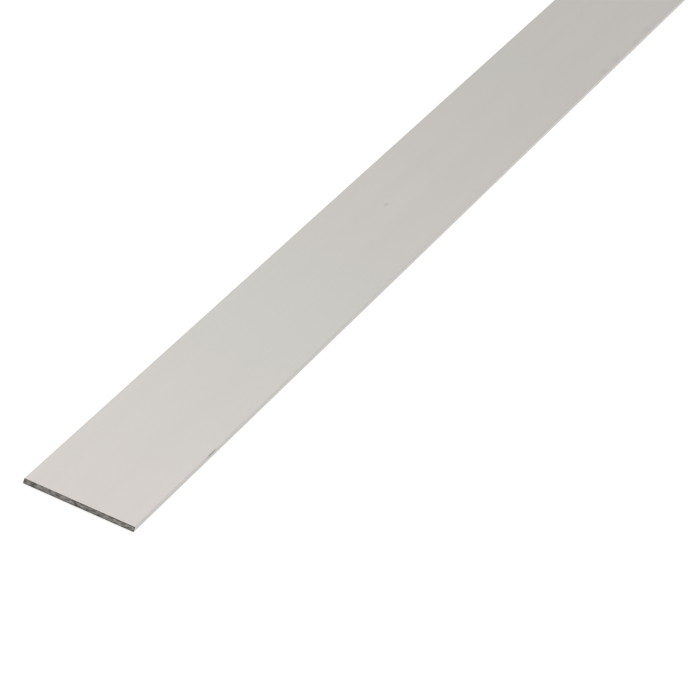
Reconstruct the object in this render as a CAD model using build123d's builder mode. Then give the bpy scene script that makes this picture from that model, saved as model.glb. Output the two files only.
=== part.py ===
"""Flat bar of extruded aluminium, sawn square from longer stock.

The bar lies flat, as it is stored. Its length runs along X, its width along Y and its thickness along Z.
The origin is the middle of the underside, so the bar rests on Z = 0. All sizes are in millimetres.
"""

import os

from build123d import *

# Driving dimensions of the stock
bar_length = 1000.0
bar_width = 40.0
bar_thickness = 2.0

# Rounding that the extrusion die leaves along the four long edges
edge_radius = 0.3

# Break that deburring leaves round each sawn end
end_break = 0.05

# Thin stock keeps a flat between its rounded edges, and a small rounding takes only a small break
die_radius = min(edge_radius, bar_thickness / 2 - end_break)
end_chamfer = min(end_break, die_radius / 2)

# The die's opening stands on the plane that the bar rests on, at the first sawn end
first_end = Plane.YZ.offset(-bar_length / 2)

with BuildPart() as flat_bar:
    with BuildSketch(first_end) as section:
        with Locations((0, bar_thickness / 2)):
            Rectangle(bar_width, bar_thickness)
        fillet(section.vertices(), radius=die_radius)
    extrude(amount=bar_length)
    sawn_ends = flat_bar.faces().filter_by(Axis.X)
    chamfer(sawn_ends.edges(), length=end_chamfer)

flat_bar.part.label = "flat_bar"

os.makedirs("parts", exist_ok=True)
export_step(flat_bar.part, "parts/flat_bar.step")
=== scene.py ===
"""Looks of a sawn length of satin anodised flat bar, laid out as an add-on and run as a script.

The bar lies flat: its length runs along X, its width along Y and its underside rests on Z = 0.
Lengths are in metres.
"""

import math

import bpy
from bpy.props import FloatProperty, FloatVectorProperty, IntProperty, PointerProperty
from mathutils import Matrix, Vector


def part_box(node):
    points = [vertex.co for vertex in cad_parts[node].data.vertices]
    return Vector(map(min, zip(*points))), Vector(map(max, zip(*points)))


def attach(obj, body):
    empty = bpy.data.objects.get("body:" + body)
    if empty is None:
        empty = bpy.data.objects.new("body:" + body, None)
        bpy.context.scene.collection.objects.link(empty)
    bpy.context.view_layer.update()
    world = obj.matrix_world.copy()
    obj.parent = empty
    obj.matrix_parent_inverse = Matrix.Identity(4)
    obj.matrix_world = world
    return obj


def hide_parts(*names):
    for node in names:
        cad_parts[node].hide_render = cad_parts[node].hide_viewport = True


bl_info = {
    "name": "Flat Bar",
    "version": (1, 0, 0),
    "blender": (4, 5, 0),
    "location": "3D View > Sidebar > Flat Bar",
    "description": "Extrudes, saws and anodises a flat bar, and sets it in a plain studio",
    "category": "Object",
}

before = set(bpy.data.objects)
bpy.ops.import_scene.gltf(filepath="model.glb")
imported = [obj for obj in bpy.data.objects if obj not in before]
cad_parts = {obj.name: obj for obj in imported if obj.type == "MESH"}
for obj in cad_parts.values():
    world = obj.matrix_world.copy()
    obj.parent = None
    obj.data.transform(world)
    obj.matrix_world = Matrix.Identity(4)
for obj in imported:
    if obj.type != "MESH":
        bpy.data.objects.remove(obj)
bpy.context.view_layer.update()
BAR_LOW, BAR_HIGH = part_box("flat_bar")
BAR_SIZE = BAR_HIGH - BAR_LOW

BAR_PIECE = "extruded_bar"
BAR_BODY = "root"
UNROLLED_MAP = "OFBake"
WHITE = (1.0, 1.0, 1.0, 1.0)

MILLIMETRE = 0.001
EDGE_RADIUS = 0.3 * MILLIMETRE
END_BREAK = 0.05 * MILLIMETRE
BLADE_RADIUS = 125.0 * MILLIMETRE
BLADE_OFFSET = 8.0 * MILLIMETRE
TOOTH_PITCH = 0.4 * MILLIMETRE
TOOTH_DEPTH = 0.02 * MILLIMETRE
SAWING_SEED = 7
ETCH_GRAIN = 0.14 * MILLIMETRE
DIE_LINES = 0.45 * MILLIMETRE
DIE_LINE_RUN = 350.0 * MILLIMETRE


# Sizes, colours and studio settings that a user can change


def length_property(name, description, default, precision=5):
    return FloatProperty(
        name=name, description=description, default=default, unit="LENGTH", precision=precision
    )


def depth_property(name, description, default):
    return length_property(name, description, default, precision=6)


def colour_property(name, description, default):
    return FloatVectorProperty(
        name=name, description=description, default=default, subtype="COLOR", size=3, min=0.0, max=1.0
    )


def angle_property(name, description, degrees):
    return FloatProperty(
        name=name, description=description, default=math.radians(degrees), unit="ROTATION"
    )


def level_property(name, description, default, highest=1.0):
    return FloatProperty(name=name, description=description, default=default, min=0.0, max=highest)


class FlatBarStock(bpy.types.PropertyGroup):
    """Sizes of the extruded and sawn bar"""

    length: length_property("Length", "Cut length of the bar", BAR_SIZE.x)
    width: length_property("Width", "Width of the flat faces", BAR_SIZE.y)
    thickness: length_property("Thickness", "Height of the bar as it lies flat", BAR_SIZE.z)
    edge_radius: length_property("Edge Radius", "Rounding of the four long edges", EDGE_RADIUS)
    end_break: length_property("End Break", "Deburring around each sawn end", END_BREAK)
    blade_radius: length_property("Blade Radius", "Radius of the saw blade", BLADE_RADIUS)
    blade_offset: length_property("Blade Offset", "How far the blade's axle is to one side", BLADE_OFFSET)
    tooth_pitch: length_property("Tooth Pitch", "Spacing of the arcs left by the saw", TOOTH_PITCH)
    tooth_depth: length_property("Tooth Depth", "Depth of the arcs left by the saw", TOOTH_DEPTH)
    seed: IntProperty(name="Seed", description="Picks the run of the saw's arcs", default=SAWING_SEED)


class FlatBarFinish(bpy.types.PropertyGroup):
    """Colours and texture of the anodised faces and the sawn ends"""

    anodised_light: colour_property("Anodised Light", "Paler tone of the long faces", (0.526, 0.499, 0.474))
    anodised_dark: colour_property("Anodised Dark", "Darker tone of the long faces", (0.482, 0.458, 0.435))
    anodised_cool: colour_property("Anodised Cool", "Cooler tone in broad patches", (0.490, 0.484, 0.453))
    handling_grime: colour_property("Handling Grime", "Smudges and the edge's scuff", (0.200, 0.200, 0.190))
    raw_metal: colour_property("Raw Metal", "Bare metal of the deburred edges", (0.620, 0.600, 0.570))
    # the two sawn colours are partly the torn metal's own darker tone and partly painted shade of an end
    # that faces away from the light
    shaded_sawn_light: colour_property("Sawn Light", "Paler streaks of the sawn faces", (0.375, 0.357, 0.335))
    shaded_sawn_dark: colour_property("Sawn Dark", "Darker streaks of the sawn faces", (0.042, 0.040, 0.037))
    satin_roughness: level_property("Satin Roughness", "Mean roughness of the long faces", 0.44)
    satin_swing: level_property("Satin Swing", "Spread of the long faces' roughness", 0.12)
    sawn_roughness: level_property("Sawn Roughness", "Mean roughness of the sawn faces", 0.50)
    sawn_swing: level_property("Sawn Swing", "Spread of the sawn faces' roughness", 0.16)
    filed_roughness: level_property("Filed Roughness", "Mean roughness of the deburred edges", 0.34)
    filed_swing: level_property("Filed Swing", "Spread of the deburred edges' roughness", 0.12)
    edge_rub: level_property("Edge Rub", "How far the long edges are rubbed bright", 0.1)
    # partly bare metal chipped by the saw and partly a painted highlight along the cut
    cut_chip_and_highlight: level_property("Cut Shine", "How far the finish is chipped bright beside the cuts", 0.5)
    cut_polish: level_property("Cut Polish", "Roughness lost beside the cuts", 0.08)
    # painted shade: how bright the sawn faces stay at their rim, where the edges would shade them
    painted_rim_shade: level_property("Rim Shade", "Brightness left at the rim of the sawn faces", 0.25)
    etch_grain: length_property("Etch Grain", "Size of the pits left by etching", ETCH_GRAIN)
    pit_depth: depth_property("Pit Depth", "Depth of the pits left by etching", 0.003 * MILLIMETRE)
    die_lines: length_property("Die Lines", "Spacing of the fine lines along the bar", DIE_LINES)
    die_line_run: length_property("Die Line Run", "Length of the fine lines", DIE_LINE_RUN)
    die_line_depth: depth_property("Die Line Depth", "Depth of the fine lines", 0.004 * MILLIMETRE)
    tone_bands: length_property("Tone Bands", "Spacing of the soft bands along the bar", 7.0 * MILLIMETRE)
    tone_band_run: length_property("Tone Band Run", "Length of the soft bands", 500.0 * MILLIMETRE)
    tone_patches: length_property("Tone Patches", "Size of the warm and cool patches", 200.0 * MILLIMETRE)
    tone_seed: IntProperty(name="Tone Seed", description="Picks where the patches lie", default=219)
    coolness: level_property("Coolness", "How far the cool patches reach the cooler tone", 0.75)
    blotch_length: length_property("Blotch Length", "Length of the saw's dark blotches", 2.2 * MILLIMETRE)
    blotch_height: length_property("Blotch Height", "Height of the saw's dark blotches", 0.65 * MILLIMETRE)
    streak_length: length_property("Streak Length", "Length of the saw's streaks", 1.1 * MILLIMETRE)
    streak_height: length_property("Streak Height", "Height of the saw's streaks", 0.11 * MILLIMETRE)
    streak_depth: depth_property("Streak Depth", "Depth of the saw's streaks", 0.012 * MILLIMETRE)
    torn_grain: length_property("Torn Grain", "Size of the pits torn by the saw", 0.09 * MILLIMETRE)
    torn_depth: depth_property("Torn Depth", "Depth of the pits torn by the saw", 0.006 * MILLIMETRE)
    file_marks: length_property("File Marks", "Spacing of the file's scratches", 0.05 * MILLIMETRE)
    file_mark_run: length_property("File Mark Run", "Length of the file's scratches", 6.0 * MILLIMETRE)
    file_mark_depth: depth_property("File Mark Depth", "Depth of the file's scratches", 0.003 * MILLIMETRE)
    filed_grain: length_property("Filed Grain", "Size of the dull spots left by the file", 0.2 * MILLIMETRE)


class FlatBarStudio(bpy.types.PropertyGroup):
    """Floor, light and camera"""

    floor_side: length_property("Floor Side", "Side of the square floor", 12.0, precision=2)
    floor_colour: colour_property("Floor Colour", "Colour of the floor", (0.92, 0.92, 0.92))
    floor_fill: level_property("Floor Fill", "Brightness added to the floor where it is seen", 0.55)
    sky_overhead: level_property("Sky Overhead", "Light from straight above", 0.5, highest=4.0)
    sky_level: level_property("Sky Level", "Light from the horizon", 0.5, highest=4.0)
    softbox_power: level_property("Softbox Power", "Watts of the softbox", 1.46, highest=1000.0)
    softbox_side: length_property("Softbox Side", "Side of the square softbox", 0.8, precision=2)
    softbox_along: length_property("Softbox Along", "Softbox distance past the near end", 0.5, precision=2)
    softbox_across: length_property("Softbox Across", "Softbox distance across the bar", 0.3, precision=2)
    softbox_height: length_property("Softbox Height", "Softbox height over the floor", 0.7, precision=2)
    fill_power: level_property("Fill Power", "Watts of the low fill lamp", 3.4, highest=1000.0)
    fill_side: length_property("Fill Side", "Side of the square fill lamp", 1.6, precision=2)
    fill_along: length_property("Fill Along", "Fill lamp distance past the near end", 0.5, precision=2)
    fill_across: length_property("Fill Across", "Fill lamp distance across the bar", -1.2, precision=2)
    fill_height: length_property("Fill Height", "Fill lamp height over the floor", 0.85, precision=2)
    aim_along: length_property("Aim Along", "Aimed point's distance past the near end", 183.83 * MILLIMETRE)
    aim_across: length_property("Aim Across", "Aimed point's distance across the bar", -27.08 * MILLIMETRE)
    distance: length_property("Distance", "Camera distance from the aimed point", 2.0332, precision=4)
    heading: angle_property("Heading", "Turn of the view from the bar's length", 12.566)
    tilt: angle_property("Tilt", "Tilt of the view down from level", 25.094)
    roll: angle_property("Roll", "Turn of the camera about its view", -18.0)
    lens: FloatProperty(
        name="Lens", description="Focal length on a 36 mm sensor", default=302.95, unit="CAMERA"
    )


# Building of node trees


MIX_SOCKETS = {
    # numbers of a Mix node's two inputs and its output, which depend on the kind of value
    "VECTOR": (4, 5, 1),
    "RGBA": (6, 7, 2),
}


class NodeGraph:
    """Adds nodes to a tree. An input is given as a plain value or as the output that feeds it."""

    column_width = 200
    row_height = 180

    def __init__(self, tree):
        self.tree = tree
        self.columns = {}
        self.rows = {}

    def node(self, kind, inputs=None, **settings):
        """Adds one node, one column to the right of the nodes that feed it."""
        node = self.tree.nodes.new(kind)
        for name, value in settings.items():
            setattr(node, name, value)
        column = 0
        for key, value in (inputs or {}).items():
            if isinstance(value, bpy.types.NodeSocket):
                self.tree.links.new(value, node.inputs[key])
                column = max(column, self.columns.get(value.node.name, 0) + 1)
            else:
                node.inputs[key].default_value = value
        row = self.rows.get(column, 0)
        node.location = (column * self.column_width, -row * self.row_height)
        self.columns[node.name] = column
        self.rows[column] = row + 1
        return node

    def math(self, operation, *values):
        """One Math node's output."""
        return self.node("ShaderNodeMath", dict(enumerate(values)), operation=operation).outputs[0]

    def vector(self, operation, *values, output="Vector"):
        """One Vector Math node's output."""
        node = self.node("ShaderNodeVectorMath", dict(enumerate(values)), operation=operation)
        return node.outputs[output]

    def scaled(self, vector, factor):
        """A vector times a number."""
        inputs = {"Vector": vector, "Scale": factor}
        return self.node("ShaderNodeVectorMath", inputs, operation="SCALE").outputs["Vector"]

    def combined(self, x=0.0, y=0.0, z=0.0):
        """A vector from three numbers."""
        return self.node("ShaderNodeCombineXYZ", {"X": x, "Y": y, "Z": z}).outputs[0]

    def separated(self, vector):
        """A vector's three numbers."""
        return self.node("ShaderNodeSeparateXYZ", {"Vector": vector}).outputs

    def ranged(self, value, from_low, from_high, to_low=0.0, to_high=1.0, clamp=True, kind="LINEAR"):
        """A number moved from one range to another."""
        inputs = {
            "Value": value,
            "From Min": from_low,
            "From Max": from_high,
            "To Min": to_low,
            "To Max": to_high,
        }
        node = self.node("ShaderNodeMapRange", inputs, clamp=clamp, interpolation_type=kind)
        return node.outputs["Result"]

    def spread(self, noise, reach, **result):
        """Noise with more contrast: what lies within a reach of its middle covers the whole range."""
        return self.ranged(noise, 0.5 - reach, 0.5 + reach, **result)

    def noise(self, vector, scale, seed, detail=2.0, roughness=0.5):
        """Noise from 0 to 1, told apart by its seed."""
        inputs = {"Vector": vector, "W": seed, "Scale": scale, "Detail": detail, "Roughness": roughness}
        return self.node("ShaderNodeTexNoise", inputs, noise_dimensions="4D").outputs["Fac"]

    def weighted(self, *shares):
        """The sum of values that are each given with a weight."""
        total = 0.0
        for value, weight in shares:
            total = self.math("MULTIPLY_ADD", value, weight, total)
        return total

    def mixed(self, kind, share, low, high):
        """A value between two vectors or colours."""
        first, second, result = MIX_SOCKETS[kind]
        node = self.node("ShaderNodeMix", {0: share, first: low, second: high}, data_type=kind)
        return node.outputs[result]

    def blended(self, share, low, high):
        """A colour between two colours. A plain colour is given as red, green and blue."""
        low, high = (
            colour if isinstance(colour, bpy.types.NodeSocket) else (*colour, 1.0)
            for colour in (low, high)
        )
        return self.mixed("RGBA", share, low, high)

    def effect(self, tree, **inputs):
        """The output of one shared effect, with its inputs named in lower case."""
        named = {name.replace("_", " ").title(): value for name, value in inputs.items()}
        return self.node("ShaderNodeGroup", named, node_tree=tree).outputs[0]

    def bump(self, height, depth, normal=None):
        """A normal tipped by a height from 0 to 1 that stands for a real depth."""
        inputs = {"Height": height, "Strength": 1.0, "Distance": depth}
        if normal:
            inputs["Normal"] = normal
        return self.node("ShaderNodeBump", inputs).outputs["Normal"]


def new_tree(name, kind, inputs, outputs):
    """A node group with named inputs and outputs: its graph, its inputs by name and its output node."""
    tree = bpy.data.node_groups.new(name, kind)
    for label, socket_type, default in inputs:
        socket = tree.interface.new_socket(label, in_out="INPUT", socket_type=socket_type)
        if default is not None:
            socket.default_value = default
    for label, socket_type in outputs:
        tree.interface.new_socket(label, in_out="OUTPUT", socket_type=socket_type)
    graph = NodeGraph(tree)
    given = graph.node("NodeGroupInput").outputs
    return graph, given, tree.nodes.new("NodeGroupOutput")


def blade_sweep(graph, y, z, blade_radius, blade_offset):
    """How deep in the cut the blade's rim stood as it passed each point of a sawn face."""
    aside = graph.math("ADD", y, blade_offset)
    diameter = graph.math("MULTIPLY", blade_radius, 2.0)
    rise = graph.math("DIVIDE", graph.math("MULTIPLY", aside, aside), diameter)
    return graph.math("SUBTRACT", z, rise)


# Effects shared by the finishes


def etched_grain():
    """Fine even pits, from 0 to 1."""
    graph, given, output = new_tree(
        "Etched grain",
        "ShaderNodeTree",
        [
            ("Place", "NodeSocketVector", None),
            ("Size", "NodeSocketFloat", ETCH_GRAIN),
            ("Seed", "NodeSocketFloat", 0.0),
        ],
        [("Grain", "NodeSocketFloat")],
    )
    scale = graph.math("DIVIDE", 1.0, given["Size"])
    noise = graph.noise(given["Place"], scale, given["Seed"], detail=3.0, roughness=0.6)
    graph.tree.links.new(graph.spread(noise, 0.2), output.inputs["Grain"])
    return graph.tree


def drawn_lines():
    """Long lines that run along X and vary across it, from 0 to 1."""
    graph, given, output = new_tree(
        "Drawn lines",
        "ShaderNodeTree",
        [
            ("Place", "NodeSocketVector", None),
            ("Spacing", "NodeSocketFloat", DIE_LINES),
            ("Run", "NodeSocketFloat", DIE_LINE_RUN),
            ("Seed", "NodeSocketFloat", 0.0),
        ],
        [("Lines", "NodeSocketFloat")],
    )
    x, y, z = graph.separated(given["Place"])
    stretched = graph.combined(
        graph.math("DIVIDE", x, given["Run"]),
        graph.math("DIVIDE", y, given["Spacing"]),
        graph.math("DIVIDE", z, given["Spacing"]),
    )
    noise = graph.noise(stretched, 1.0, given["Seed"], detail=3.0, roughness=0.55)
    graph.tree.links.new(graph.spread(noise, 0.25), output.inputs["Lines"])
    return graph.tree


def edge_band():
    """An uneven band, 1 at the bar's edges and 0 past its reach, which is given along X, Y and Z."""
    graph, given, output = new_tree(
        "Edge band",
        "ShaderNodeTree",
        [
            ("Place", "NodeSocketVector", None),
            ("Half Size", "NodeSocketVector", BAR_SIZE / 2),
            ("Reach", "NodeSocketVector", (MILLIMETRE, MILLIMETRE, MILLIMETRE)),
            ("Unevenness", "NodeSocketFloat", 0.5),
            ("Patch Size", "NodeSocketFloat", 2.0 * MILLIMETRE),
            ("Seed", "NodeSocketFloat", 0.0),
        ],
        [("Band", "NodeSocketFloat")],
    )
    half_height = graph.vector("MULTIPLY", given["Half Size"], (0.0, 0.0, 1.0))
    from_middle = graph.vector("ABSOLUTE", graph.vector("SUBTRACT", given["Place"], half_height))
    inward = graph.vector("SUBTRACT", given["Half Size"], from_middle)
    x, y, z = graph.separated(graph.vector("DIVIDE", inward, given["Reach"]))
    # an edge lies on two faces, so the second shortest of the three ways to a face counts
    nearer = graph.math("MINIMUM", x, y)
    further = graph.math("MAXIMUM", x, y)
    from_edge = graph.math("MAXIMUM", nearer, graph.math("MINIMUM", further, z))
    patches = graph.noise(given["Place"], graph.math("DIVIDE", 1.0, given["Patch Size"]), given["Seed"])
    uneven = graph.math("MULTIPLY", graph.math("SUBTRACT", patches, 0.5), given["Unevenness"])
    band = graph.ranged(graph.math("ADD", from_edge, uneven), 0.0, 1.0, 1.0, 0.0, kind="SMOOTHSTEP")
    graph.tree.links.new(band, output.inputs["Band"])
    return graph.tree


# Finishes


HANDLING_MARKS = (
    # place past the near end, across and up, then half the length and width, all in millimetres,
    # and last how dark the mark is
    ((69.1, -19.9, 1.9), (7.0, 0.6), 0.60),
    ((308.2, 3.7, 2.0), (3.0, 1.1), 0.24),
    ((484.5, -18.7, 2.0), (1.8, 0.8), 0.12),
    ((510.2, -18.5, 2.0), (6.5, 2.0), 0.10),
    ((526.6, -18.2, 2.0), (6.5, 2.0), 0.10),
    ((551.5, -18.6, 2.0), (5.0, 1.6), 0.10),
    ((569.0, -18.1, 2.0), (7.5, 2.2), 0.10),
)
# Where a mark starts to fade and where it is gone, counted in its reach with the ragged noise added
MARK_CORE, MARK_RIM = 0.7, 1.4
# Added to a pattern's seed on the far sawn end, so that the two ends differ
FAR_END_SEED = 10.0


def new_finish(name):
    """An empty material and its graph."""
    material = bpy.data.materials.new(name)
    material.use_nodes = True
    material.node_tree.nodes.clear()
    return material, NodeGraph(material.node_tree)


def metal_surface(graph, colour, roughness, normal):
    """Metal of a given colour, roughness and normal."""
    shader = graph.node(
        "ShaderNodeBsdfPrincipled",
        {"Base Color": colour, "Metallic": 1.0, "Roughness": roughness, "Normal": normal},
    )
    graph.node("ShaderNodeOutputMaterial", {"Surface": shader.outputs["BSDF"]})


def handling_marks(graph, place):
    """Ragged smudges on the top face and a scuff on the right edge, each as dark as it is listed."""
    from_near_end = graph.vector("SUBTRACT", place, (BAR_LOW.x, 0.0, 0.0))
    ragged = graph.noise(place, 1.0 / MILLIMETRE, seed=3.0)
    marks = 0.0
    for centre, (reach_along, reach_across), darkness in HANDLING_MARKS:
        offset = graph.vector("SUBTRACT", from_near_end, Vector(centre) * MILLIMETRE)
        reach = Vector((reach_along, reach_across, reach_across)) * MILLIMETRE
        away = graph.vector("LENGTH", graph.vector("DIVIDE", offset, reach), output="Value")
        away = graph.math("ADD", away, ragged)
        mark = graph.ranged(away, MARK_CORE, MARK_RIM, darkness, 0.0, kind="SMOOTHSTEP")
        marks = graph.math("MAXIMUM", mark, marks)
    return marks


def anodised_finish(effects, stock, finish):
    """Satin anodised faces: an even etched grain over faint die lines, with soft shifts of tone."""
    material, graph = new_finish("Satin anodised aluminium")
    place = graph.node("ShaderNodeTexCoord").outputs["Object"]
    grain = graph.effect(effects["grain"], place=place, size=finish.etch_grain, seed=1.0)
    die_lines = graph.effect(
        effects["lines"], place=place, spacing=finish.die_lines, run=finish.die_line_run, seed=2.0
    )
    bands = graph.effect(
        effects["lines"], place=place, spacing=finish.tone_bands, run=finish.tone_band_run, seed=5.0
    )
    patches = graph.noise(place, 1.0 / finish.tone_patches, seed=finish.tone_seed)
    half_size = (stock.length / 2, stock.width / 2, stock.thickness / 2)
    # band on the long faces beside each cut: chipped bare metal, partly a painted highlight along the cut
    chipped_cut_and_highlight = graph.effect(
        effects["edge"],
        place=place,
        half_size=half_size,
        reach=(0.45 * MILLIMETRE, 0.03 * MILLIMETRE, 0.03 * MILLIMETRE),
        unevenness=0.8,
        patch_size=1.5 * MILLIMETRE,
        seed=5.0,
    )
    rubbed_edge = graph.effect(
        effects["edge"],
        place=place,
        half_size=half_size,
        reach=(0.01 * MILLIMETRE, 0.5 * MILLIMETRE, 0.5 * MILLIMETRE),
        unevenness=2.0,
        patch_size=4.0 * MILLIMETRE,
        seed=6.0,
    )

    tone = graph.weighted((die_lines, 0.35), (bands, 0.45), (grain, 0.2))
    colour = graph.blended(tone, finish.anodised_dark, finish.anodised_light)
    coolness = graph.ranged(
        patches, from_low=0.4, from_high=0.65, to_high=finish.coolness, kind="SMOOTHSTEP"
    )
    colour = graph.blended(coolness, colour, finish.anodised_cool)
    colour = graph.blended(graph.math("MULTIPLY", rubbed_edge, finish.edge_rub), colour, finish.raw_metal)
    colour = graph.blended(handling_marks(graph, place), colour, finish.handling_grime)
    # partly painted highlight: the band beside each cut is blended towards bare metal
    colour = graph.blended(graph.math("MULTIPLY", chipped_cut_and_highlight, finish.cut_chip_and_highlight), colour, finish.raw_metal)

    half_swing = finish.satin_swing / 2
    uneven = graph.weighted((grain, half_swing), (die_lines, half_swing), (chipped_cut_and_highlight, -finish.cut_polish))
    roughness = graph.math("ADD", uneven, finish.satin_roughness - half_swing)
    normal = graph.bump(grain, finish.pit_depth, graph.bump(die_lines, finish.die_line_depth))
    metal_surface(graph, colour, roughness, normal)
    return material


def sawn_finish(effects, stock, finish):
    """Sawn ends: torn metal in a dark tone that is partly painted shade, paler in streaks that follow the
    blade, with a rim of painted shade.
    """
    material, graph = new_finish("Sawn aluminium")
    place = graph.node("ShaderNodeTexCoord").outputs["Object"]
    x, y, z = graph.separated(place)
    far_end = graph.math("GREATER_THAN", x, 0.0)
    depth = blade_sweep(graph, y, z, stock.blade_radius, stock.blade_offset)

    def drawn_out(length, height, seed, detail):
        """Noise drawn out along the path of the blade's rim."""
        stretched = graph.combined(graph.math("DIVIDE", y, length), graph.math("DIVIDE", depth, height))
        own_seed = graph.math("MULTIPLY_ADD", far_end, FAR_END_SEED, seed)
        return graph.noise(stretched, 1.0, own_seed, detail)

    blotches = drawn_out(finish.blotch_length, finish.blotch_height, seed=1.0, detail=2.0)
    blotches = graph.spread(blotches, 0.12)
    streaks = drawn_out(finish.streak_length, finish.streak_height, seed=2.0, detail=5.0)
    streaks = graph.spread(streaks, 0.2)
    grain = graph.effect(effects["grain"], place=place, size=finish.torn_grain, seed=3.0)
    # band along the rim of the sawn faces, used only to paint shade there
    rim = graph.effect(
        effects["edge"],
        place=place,
        half_size=(stock.length / 2, stock.width / 2, stock.thickness / 2),
        reach=(0.1 * MILLIMETRE, 0.6 * MILLIMETRE, 0.65 * MILLIMETRE),
        unevenness=0.7,
        patch_size=0.9 * MILLIMETRE,
        seed=4.0,
    )
    tone = graph.weighted((blotches, 0.6), (streaks, 0.25), (grain, 0.15))
    # painted shade: the sawn face is darkened towards its rim
    tone = graph.math("MULTIPLY", tone, graph.ranged(rim, 0.0, 1.0, 1.0, finish.painted_rim_shade))
    # the sawn colours are partly painted shade, which darkens the whole end face
    colour = graph.blended(tone, finish.shaded_sawn_dark, finish.shaded_sawn_light)
    roughest = finish.sawn_roughness + finish.sawn_swing / 2
    roughness = graph.math("MULTIPLY_ADD", streaks, -finish.sawn_swing, roughest)
    normal = graph.bump(grain, finish.torn_depth, graph.bump(streaks, finish.streak_depth))
    metal_surface(graph, colour, roughness, normal)
    return material


def deburred_finish(effects, finish):
    """Deburred rims of the sawn ends: bright bare metal with file marks across the bar."""
    material, graph = new_finish("Deburred aluminium")
    place = graph.node("ShaderNodeTexCoord").outputs["Object"]
    x, y, z = graph.separated(place)
    file_marks = graph.effect(
        effects["lines"],
        place=graph.combined(y, x, z),
        spacing=finish.file_marks,
        run=finish.file_mark_run,
        seed=1.0,
    )
    grain = graph.effect(effects["grain"], place=place, size=finish.filed_grain, seed=2.0)
    dull = graph.weighted((grain, 0.25), (file_marks, 0.2))
    colour = graph.blended(dull, finish.raw_metal, finish.anodised_dark)
    smoothest = finish.filed_roughness - finish.filed_swing / 2
    roughness = graph.math("MULTIPLY_ADD", grain, finish.filed_swing, smoothest)
    metal_surface(graph, colour, roughness, graph.bump(file_marks, finish.file_mark_depth))
    return material


# Geometry nodes of the bar


BAR_INPUTS = (
    ("Length", "NodeSocketFloat", BAR_SIZE.x),
    ("Width", "NodeSocketFloat", BAR_SIZE.y),
    ("Thickness", "NodeSocketFloat", BAR_SIZE.z),
    ("Edge Radius", "NodeSocketFloat", EDGE_RADIUS),
    ("End Break", "NodeSocketFloat", END_BREAK),
    ("Corner Steps", "NodeSocketInt", 8),
    ("Flat Step", "NodeSocketFloat", 0.5 * MILLIMETRE),
    ("Long Steps", "NodeSocketInt", 50),
    ("End Rings", "NodeSocketInt", 16),
    ("Blade Radius", "NodeSocketFloat", BLADE_RADIUS),
    ("Blade Offset", "NodeSocketFloat", BLADE_OFFSET),
    ("Tooth Pitch", "NodeSocketFloat", TOOTH_PITCH),
    ("Tooth Depth", "NodeSocketFloat", TOOTH_DEPTH),
    ("Wavers per Metre", "NodeSocketFloat", 900.0),
    ("Faint Spots per Metre", "NodeSocketFloat", 400.0),
    ("Seed", "NodeSocketFloat", SAWING_SEED),
    ("Long Face Finish", "NodeSocketMaterial", None),
    ("Sawn Face Finish", "NodeSocketMaterial", None),
    ("Broken Edge Finish", "NodeSocketMaterial", None),
)
WELD_DISTANCE = 0.001 * MILLIMETRE
SHARP_ANGLE = math.radians(30.0)


def section_curve(graph, size):
    """The die's opening: a rounded rectangle whose flats are cut into short steps."""
    corners = graph.node(
        "GeometryNodeCurvePrimitiveQuadrilateral",
        {"Width": size["Width"], "Height": size["Thickness"]},
    )
    rounded = graph.node(
        "GeometryNodeFilletCurve",
        {
            "Curve": corners.outputs["Curve"],
            "Count": size["Corner Steps"],
            "Radius": size["Edge Radius"],
        },
        mode="POLY",
    )
    here = graph.node("GeometryNodeInputPosition").outputs[0]
    index = graph.node("GeometryNodeInputIndex").outputs[0]
    domain = graph.node(
        "GeometryNodeAttributeDomainSize", {"Geometry": rounded.outputs["Curve"]}, component="CURVE"
    )
    next_index = graph.math("MODULO", graph.math("ADD", index, 1.0), domain.outputs["Point Count"])
    ahead = graph.node(
        "GeometryNodeFieldAtIndex", {"Value": here, "Index": next_index}, data_type="FLOAT_VECTOR"
    )
    gap = graph.vector("DISTANCE", here, ahead.outputs["Value"], output="Value")
    cuts = graph.math("FLOOR", graph.math("DIVIDE", gap, size["Flat Step"]))
    stepped = graph.node("GeometryNodeSubdivideCurve", {"Curve": rounded.outputs["Curve"], "Cuts": cuts})
    return stepped.outputs["Curve"]


def swept_bar(graph, size):
    """The section swept past every station along the bar: its mesh, and each point's station number."""
    at_each_end = graph.math("ADD", size["End Rings"], 1.0)
    along_faces = graph.math("ADD", size["Long Steps"], 1.0)
    count = graph.math("MULTIPLY_ADD", at_each_end, 2.0, along_faces)
    line = graph.node("GeometryNodeCurvePrimitiveLine", {"End": (1.0, 0.0, 0.0)})
    rail = graph.node("GeometryNodeResampleCurve", {"Curve": line.outputs["Curve"], "Count": count})
    numbered = graph.node("GeometryNodeCaptureAttribute", {"Geometry": rail.outputs["Curve"]})
    numbered.capture_items.new("FLOAT", "Station")
    index = graph.node("GeometryNodeInputIndex").outputs[0]
    graph.tree.links.new(index, numbered.inputs["Station"])
    swept = graph.node(
        "GeometryNodeCurveToMesh",
        {"Curve": numbered.outputs["Geometry"], "Profile Curve": section_curve(graph, size)},
    )
    return swept.outputs["Mesh"], numbered.outputs["Station"]


def limited(graph, vector, limit):
    """A vector kept between minus a limit and plus that limit."""
    lowest = graph.vector("MAXIMUM", vector, graph.scaled(limit, -1.0))
    return graph.vector("MINIMUM", lowest, limit)


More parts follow.
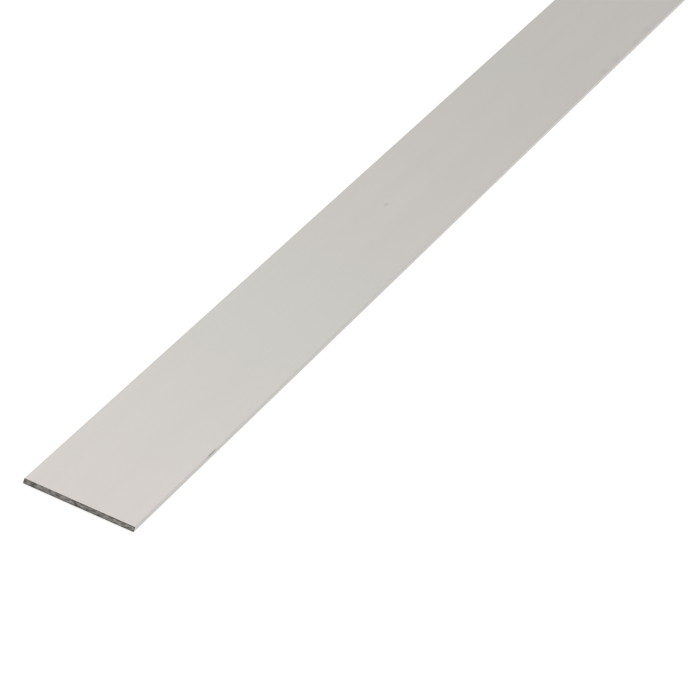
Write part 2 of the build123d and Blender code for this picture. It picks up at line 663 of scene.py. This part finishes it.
def placed_rings(graph, size, mesh, station):
    """Moves each ring along the bar, in by the broken edge, and over the sawn end to its centre line."""
    half_length = graph.math("MULTIPLY", size["Length"], 0.5)
    unbroken_half = graph.math("SUBTRACT", half_length, size["End Break"])
    first = graph.math("ADD", size["End Rings"], 1.0)
    last = graph.math("ADD", first, size["Long Steps"])
    along = graph.ranged(
        station, first, last, graph.math("MULTIPLY", unbroken_half, -1.0), unbroken_half, clamp=False
    )
    along = graph.node(
        "ShaderNodeClamp",
        {"Value": along, "Min": graph.math("MULTIPLY", half_length, -1.0), "Max": half_length},
    ).outputs["Result"]

    half_steps = graph.math("MULTIPLY", size["Long Steps"], 0.5)
    middle = graph.math("ADD", first, half_steps)
    from_middle = graph.math("ABSOLUTE", graph.math("SUBTRACT", station, middle))
    past_break = graph.math("SUBTRACT", from_middle, half_steps)
    at_end = graph.math("GREATER_THAN", past_break, 0.5)
    pull = graph.ranged(past_break, 1.0, graph.math("ADD", size["End Rings"], 1.0))

    half_width = graph.math("MULTIPLY", size["Width"], 0.5)
    half_thickness = graph.math("MULTIPLY", size["Thickness"], 0.5)
    here = graph.node("GeometryNodeInputPosition").outputs[0]
    outline = graph.vector("MULTIPLY", here, (0.0, 1.0, 1.0))
    core_limit = graph.combined(
        y=graph.math("SUBTRACT", half_width, size["Edge Radius"]),
        z=graph.math("SUBTRACT", half_thickness, size["Edge Radius"]),
    )
    core = limited(graph, outline, core_limit)
    outward = graph.vector("NORMALIZE", graph.vector("SUBTRACT", outline, core))
    inset = graph.scaled(outward, graph.math("MULTIPLY", at_end, size["End Break"]))
    broken = graph.vector("SUBTRACT", outline, inset)
    centre_line = limited(
        graph, outline, graph.combined(y=graph.math("SUBTRACT", half_width, half_thickness))
    )
    pulled = graph.mixed("VECTOR", pull, broken, centre_line)
    place = graph.vector("ADD", pulled, graph.combined(x=along, z=half_thickness))
    placed = graph.node("GeometryNodeSetPosition", {"Geometry": mesh, "Position": place})
    return placed.outputs["Geometry"], past_break, pull


def sawn_relief(graph, size, mesh, pull):
    """Cuts the blade's shallow arcs into both ends, clear of their outline."""
    here = graph.node("GeometryNodeInputPosition").outputs[0]
    x, y, z = graph.separated(here)
    depth_in_cut = blade_sweep(graph, y, z, size["Blade Radius"], size["Blade Offset"])
    strokes = graph.math("DIVIDE", depth_in_cut, size["Tooth Pitch"])
    wavers = graph.noise(here, size["Wavers per Metre"], size["Seed"])
    phase = graph.math("MULTIPLY", graph.math("ADD", strokes, wavers), math.tau)
    ridge = graph.math("MULTIPLY_ADD", graph.math("SINE", phase), 0.5, 0.5)
    spots = graph.noise(here, size["Faint Spots per Metre"], graph.math("ADD", size["Seed"], 1.0))
    uneven = graph.spread(spots, 0.2, to_low=0.3)
    inside = graph.ranged(pull, from_low=0.0, from_high=0.2, kind="SMOOTHSTEP")
    cut = graph.math("MULTIPLY", graph.math("MULTIPLY", ridge, uneven), inside)
    inwards = graph.math("MULTIPLY", graph.math("SIGN", x), -1.0)
    shift = graph.math("MULTIPLY", graph.math("MULTIPLY", cut, size["Tooth Depth"]), inwards)
    sawn = graph.node("GeometryNodeSetPosition", {"Geometry": mesh, "Offset": graph.combined(x=shift)})
    return sawn.outputs["Geometry"]


UNROLLED_BANDS = (
    # way the faces look, axis across the map, axis up the map, lowest and highest place of the band
    ((0.0, 0.0, 1.0), "X", "Y", 0.01, 0.33),
    ((0.0, 0.0, -1.0), "X", "Y", 0.35, 0.67),
    ((0.0, -1.0, 0.0), "X", "Z", 0.69, 0.74),
    ((0.0, 1.0, 0.0), "X", "Z", 0.76, 0.81),
    ((-1.0, 0.0, 0.0), "Y", "Z", 0.83, 0.90),
    ((1.0, 0.0, 0.0), "Y", "Z", 0.92, 0.99),
)
UNROLLED_SIDES = (0.005, 0.995)
AXES = {"X": Vector((1.0, 0.0, 0.0)), "Y": Vector((0.0, 1.0, 0.0)), "Z": Vector((0.0, 0.0, 1.0))}
# Counts a face's slope towards an end for more, so that broken edges go with the ends
FACING_WEIGHTS = (1.2, 1.0, 1.0)
# Share of the strongest slope that counts as that slope
AS_STRONG = 0.999


def unrolled(graph, size, mesh):
    """Lays the faces flat on a square map, each side of the bar in a band of its own."""
    here = graph.node("GeometryNodeInputPosition").outputs[0]
    middle = graph.combined(z=graph.math("MULTIPLY", size["Thickness"], 0.5))
    whole_size = graph.combined(size["Length"], size["Width"], size["Thickness"])
    share = graph.separated(graph.vector("DIVIDE", graph.vector("SUBTRACT", here, middle), whole_size))
    normal = graph.node("GeometryNodeInputNormal").outputs["True Normal"]
    of_face = graph.node(
        "GeometryNodeFieldOnDomain", {"Value": normal}, data_type="FLOAT_VECTOR", domain="FACE"
    )
    facing = graph.vector("MULTIPLY", of_face.outputs["Value"], FACING_WEIGHTS)
    x, y, z = graph.separated(graph.vector("ABSOLUTE", facing))
    strongest = graph.math("MAXIMUM", graph.math("MAXIMUM", x, y), z)
    for way, across, up, low, high in UNROLLED_BANDS:
        left, right = UNROLLED_SIDES
        if AXES[across].cross(AXES[up]).dot(way) < 0:
            left, right = right, left
        u = graph.ranged(share[across], -0.5, 0.5, left, right)
        v = graph.ranged(share[up], -0.5, 0.5, low, high)
        this_way = graph.vector("DOT_PRODUCT", facing, way, output="Value")
        chosen = graph.math("GREATER_THAN", this_way, graph.math("MULTIPLY", strongest, AS_STRONG))
        mapped = graph.node(
            "GeometryNodeStoreNamedAttribute",
            {"Geometry": mesh, "Selection": chosen, "Name": UNROLLED_MAP, "Value": graph.combined(u, v)},
            data_type="FLOAT2",
            domain="CORNER",
        )
        mesh = mapped.outputs["Geometry"]
    return mesh


def bar_tree():
    """Geometry nodes that extrude the bar, saw its ends and give each kind of face its finish."""
    graph, size, output = new_tree(
        "Extruded flat bar", "GeometryNodeTree", BAR_INPUTS, [("Bar", "NodeSocketGeometry")]
    )
    mesh, station = swept_bar(graph, size)
    mesh, past_break, pull = placed_rings(graph, size, mesh, station)
    mesh = sawn_relief(graph, size, mesh, pull)
    marked = graph.node("GeometryNodeCaptureAttribute", {"Geometry": mesh})
    marked.capture_items.new("FLOAT", "Past Break")
    graph.tree.links.new(past_break, marked.inputs["Past Break"])
    closed = graph.node(
        "GeometryNodeMergeByDistance", {"Geometry": marked.outputs["Geometry"], "Distance": WELD_DISTANCE}
    )
    smooth = graph.node("GeometryNodeSetShadeSmooth", {"Geometry": closed.outputs["Geometry"]})
    angle = graph.node("GeometryNodeInputMeshEdgeAngle").outputs["Unsigned Angle"]
    sharp = graph.node(
        "GeometryNodeSetShadeSmooth",
        {
            "Geometry": smooth.outputs["Geometry"],
            "Selection": graph.math("GREATER_THAN", angle, SHARP_ANGLE),
            "Shade Smooth": False,
        },
        domain="EDGE",
    )
    mapped = unrolled(graph, size, sharp.outputs["Geometry"])
    whole = graph.node("GeometryNodeRealizeInstances", {"Geometry": mapped})
    face_place = graph.node(
        "GeometryNodeFieldOnDomain", {"Value": marked.outputs["Past Break"]}, domain="FACE"
    ).outputs["Value"]
    on_end = graph.math("GREATER_THAN", face_place, 1.0)
    past_long_face = graph.math("GREATER_THAN", face_place, 0.0)
    on_break = graph.math("SUBTRACT", past_long_face, on_end)
    geometry = graph.node(
        "GeometryNodeSetMaterial",
        {"Geometry": whole.outputs["Geometry"], "Material": size["Long Face Finish"]},
    ).outputs["Geometry"]
    for faces, finish in ((on_end, "Sawn Face Finish"), (on_break, "Broken Edge Finish")):
        geometry = graph.node(
            "GeometryNodeSetMaterial",
            {"Geometry": geometry, "Selection": faces, "Material": size[finish]},
        ).outputs["Geometry"]
    graph.tree.links.new(geometry, output.inputs["Bar"])
    return graph.tree


def made_piece(name, tree, values):
    """Runs a geometry tree and returns its result as a plain mesh object."""
    seed_mesh = bpy.data.meshes.new(name)
    piece = bpy.data.objects.new(name, seed_mesh)
    bpy.context.scene.collection.objects.link(piece)
    modifier = piece.modifiers.new("Extrusion", "NODES")
    modifier.node_group = tree
    sockets = {
        item.name: item.identifier
        for item in tree.interface.items_tree
        if item.item_type == "SOCKET" and item.in_out == "INPUT"
    }
    for label, value in values.items():
        modifier[sockets[label]] = value
    depsgraph = bpy.context.evaluated_depsgraph_get()
    piece.data = bpy.data.meshes.new_from_object(piece.evaluated_get(depsgraph), depsgraph=depsgraph)
    piece.data.name = name
    piece.modifiers.clear()
    bpy.data.meshes.remove(seed_mesh)
    return piece


class FLATBAR_OT_extrude(bpy.types.Operator):
    """Extrude the bar, saw it to length and anodise it"""

    bl_idname = "flat_bar.extrude"
    bl_label = "Extrude Bar"

    def execute(self, context):
        stock = context.scene.flat_bar_stock
        finish = context.scene.flat_bar_finish
        effects = {"grain": etched_grain(), "lines": drawn_lines(), "edge": edge_band()}
        values = {
            "Length": stock.length,
            "Width": stock.width,
            "Thickness": stock.thickness,
            "Edge Radius": stock.edge_radius,
            "End Break": stock.end_break,
            "Blade Radius": stock.blade_radius,
            "Blade Offset": stock.blade_offset,
            "Tooth Pitch": stock.tooth_pitch,
            "Tooth Depth": stock.tooth_depth,
            "Seed": float(stock.seed),
            "Long Face Finish": anodised_finish(effects, stock, finish),
            "Sawn Face Finish": sawn_finish(effects, stock, finish),
            "Broken Edge Finish": deburred_finish(effects, finish),
        }
        bar = made_piece(BAR_PIECE, bar_tree(), values)
        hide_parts("flat_bar")
        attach(bar, BAR_BODY)
        return {"FINISHED"}


# Studio


def seen_or_mirrored(graph):
    """1 for a ray that comes from the camera or a mirroring or clear surface, else 0."""
    rays = graph.node("ShaderNodeLightPath").outputs
    seen = graph.math("MAXIMUM", rays["Is Camera Ray"], rays["Is Glossy Ray"])
    return graph.math("MAXIMUM", seen, rays["Is Transmission Ray"])


def floor_finish(studio):
    """Matt pale floor, filled to white where it is seen in the open."""
    material, graph = new_finish("Studio floor")
    paper = graph.node(
        "ShaderNodeBsdfPrincipled",
        {"Base Color": (*studio.floor_colour, 1.0), "Roughness": 0.9, "Specular IOR Level": 0.0},
    )
    fill = graph.math("MULTIPLY", seen_or_mirrored(graph), studio.floor_fill)
    glow = graph.node("ShaderNodeEmission", {"Color": WHITE, "Strength": fill})
    both = graph.node("ShaderNodeAddShader", {0: paper.outputs["BSDF"], 1: glow.outputs["Emission"]})
    graph.node("ShaderNodeOutputMaterial", {"Surface": both.outputs["Shader"]})
    return material


def studio_floor(studio):
    """One square sheet under the bar."""
    half = studio.floor_side / 2
    corners = [(-half, -half, 0.0), (half, -half, 0.0), (half, half, 0.0), (-half, half, 0.0)]
    mesh = bpy.data.meshes.new("floor")
    mesh.from_pydata(corners, [], [(0, 1, 2, 3)])
    mesh.materials.append(floor_finish(studio))
    return bpy.data.objects.new("floor", mesh)


def studio_sky(studio):
    """Soft light, set at the horizon and overhead, from a backdrop that is seen as plain white."""
    world = bpy.data.worlds.new("Studio")
    world.use_nodes = True
    world.node_tree.nodes.clear()
    graph = NodeGraph(world.node_tree)
    direction = graph.node("ShaderNodeTexCoord").outputs["Generated"]
    height = graph.separated(direction)["Z"]
    level = graph.ranged(height, 0.0, 1.0, studio.sky_level, studio.sky_overhead)
    light = graph.node("ShaderNodeBackground", {"Color": WHITE, "Strength": level})
    backdrop = graph.node("ShaderNodeBackground", {"Color": WHITE, "Strength": 1.0})
    mixed = graph.node(
        "ShaderNodeMixShader",
        {0: seen_or_mirrored(graph), 1: light.outputs["Background"], 2: backdrop.outputs["Background"]},
    )
    graph.node("ShaderNodeOutputWorld", {"Surface": mixed.outputs["Shader"]})
    return world


def studio_lamp(name, power, side, place):
    """A square lamp, hidden from the camera, that faces the near end. Its place is given from there."""
    light = bpy.data.lights.new(name, "AREA")
    light.shape = "SQUARE"
    light.size = side
    light.energy = power
    lamp = bpy.data.objects.new(name, light)
    lamp.location = Vector((BAR_LOW.x, 0.0, 0.0)) + Vector(place)
    lamp.rotation_euler = (-Vector(place)).to_track_quat("-Z", "Y").to_euler()
    lamp.visible_camera = False
    return lamp


def studio_camera(studio):
    """A camera turned from +X by its heading, tipped down by its tilt and rolled about its view."""
    level = math.cos(studio.tilt)
    forward = Vector(
        (math.cos(studio.heading) * level, math.sin(studio.heading) * level, -math.sin(studio.tilt))
    )
    level_right = Vector((math.sin(studio.heading), -math.cos(studio.heading), 0.0))
    level_down = forward.cross(level_right)
    right = math.cos(studio.roll) * level_right + math.sin(studio.roll) * level_down
    down = math.cos(studio.roll) * level_down - math.sin(studio.roll) * level_right
    turned = Matrix((right, -down, -forward)).transposed().to_4x4()
    aim = Vector((BAR_LOW.x + studio.aim_along, studio.aim_across, BAR_HIGH.z))
    camera = bpy.data.objects.new("camera", bpy.data.cameras.new("camera"))
    camera.data.sensor_width = 36.0
    camera.data.lens = studio.lens
    camera.data.clip_end = 100.0
    camera.matrix_world = Matrix.Translation(aim - studio.distance * forward) @ turned
    return camera


class FLATBAR_OT_stage(bpy.types.Operator):
    """Set the floor, the light and the camera"""

    bl_idname = "flat_bar.stage"
    bl_label = "Set Up Studio"

    def execute(self, context):
        scene = context.scene
        studio = scene.flat_bar_studio
        scene.view_settings.view_transform = "Standard"
        scene.world = studio_sky(studio)
        floor = studio_floor(studio)
        camera = studio_camera(studio)
        softbox_place = (studio.softbox_along, studio.softbox_across, studio.softbox_height)
        softbox = studio_lamp("softbox", studio.softbox_power, studio.softbox_side, softbox_place)
        fill_place = (studio.fill_along, studio.fill_across, studio.fill_height)
        fill = studio_lamp("fill", studio.fill_power, studio.fill_side, fill_place)
        for thing in (floor, softbox, fill, camera):
            scene.collection.objects.link(thing)
        scene.camera = camera
        return {"FINISHED"}


class FLATBAR_PT_sidebar(bpy.types.Panel):
    """Lists the bar's sizes and finishes, the studio, and the steps that make them"""

    bl_idname = "FLATBAR_PT_sidebar"
    bl_label = "Flat Bar"
    bl_space_type = "VIEW_3D"
    bl_region_type = "UI"
    bl_category = "Flat Bar"

    def draw(self, context):
        scene = context.scene
        steps = (
            (FLATBAR_OT_extrude, (scene.flat_bar_stock, scene.flat_bar_finish)),
            (FLATBAR_OT_stage, (scene.flat_bar_studio,)),
        )
        for step, groups in steps:
            box = self.layout.box()
            box.operator(step.bl_idname)
            for group in groups:
                for name in type(group).__annotations__:
                    box.prop(group, name)


CLASSES = (
    FlatBarStock,
    FlatBarFinish,
    FlatBarStudio,
    FLATBAR_OT_extrude,
    FLATBAR_OT_stage,
    FLATBAR_PT_sidebar,
)


def register():
    """Adds the classes, and the settings that every scene then has."""
    for cls in CLASSES:
        bpy.utils.register_class(cls)
    bpy.types.Scene.flat_bar_stock = PointerProperty(type=FlatBarStock)
    bpy.types.Scene.flat_bar_finish = PointerProperty(type=FlatBarFinish)
    bpy.types.Scene.flat_bar_studio = PointerProperty(type=FlatBarStudio)


def unregister():
    """Takes the settings and the classes away again."""
    del bpy.types.Scene.flat_bar_studio
    del bpy.types.Scene.flat_bar_finish
    del bpy.types.Scene.flat_bar_stock
    for cls in reversed(CLASSES):
        bpy.utils.unregister_class(cls)


def main():
    """Makes the bar and its studio."""
    register()
    bpy.ops.flat_bar.extrude()
    bpy.ops.flat_bar.stage()


if __name__ == "__main__":
    main()
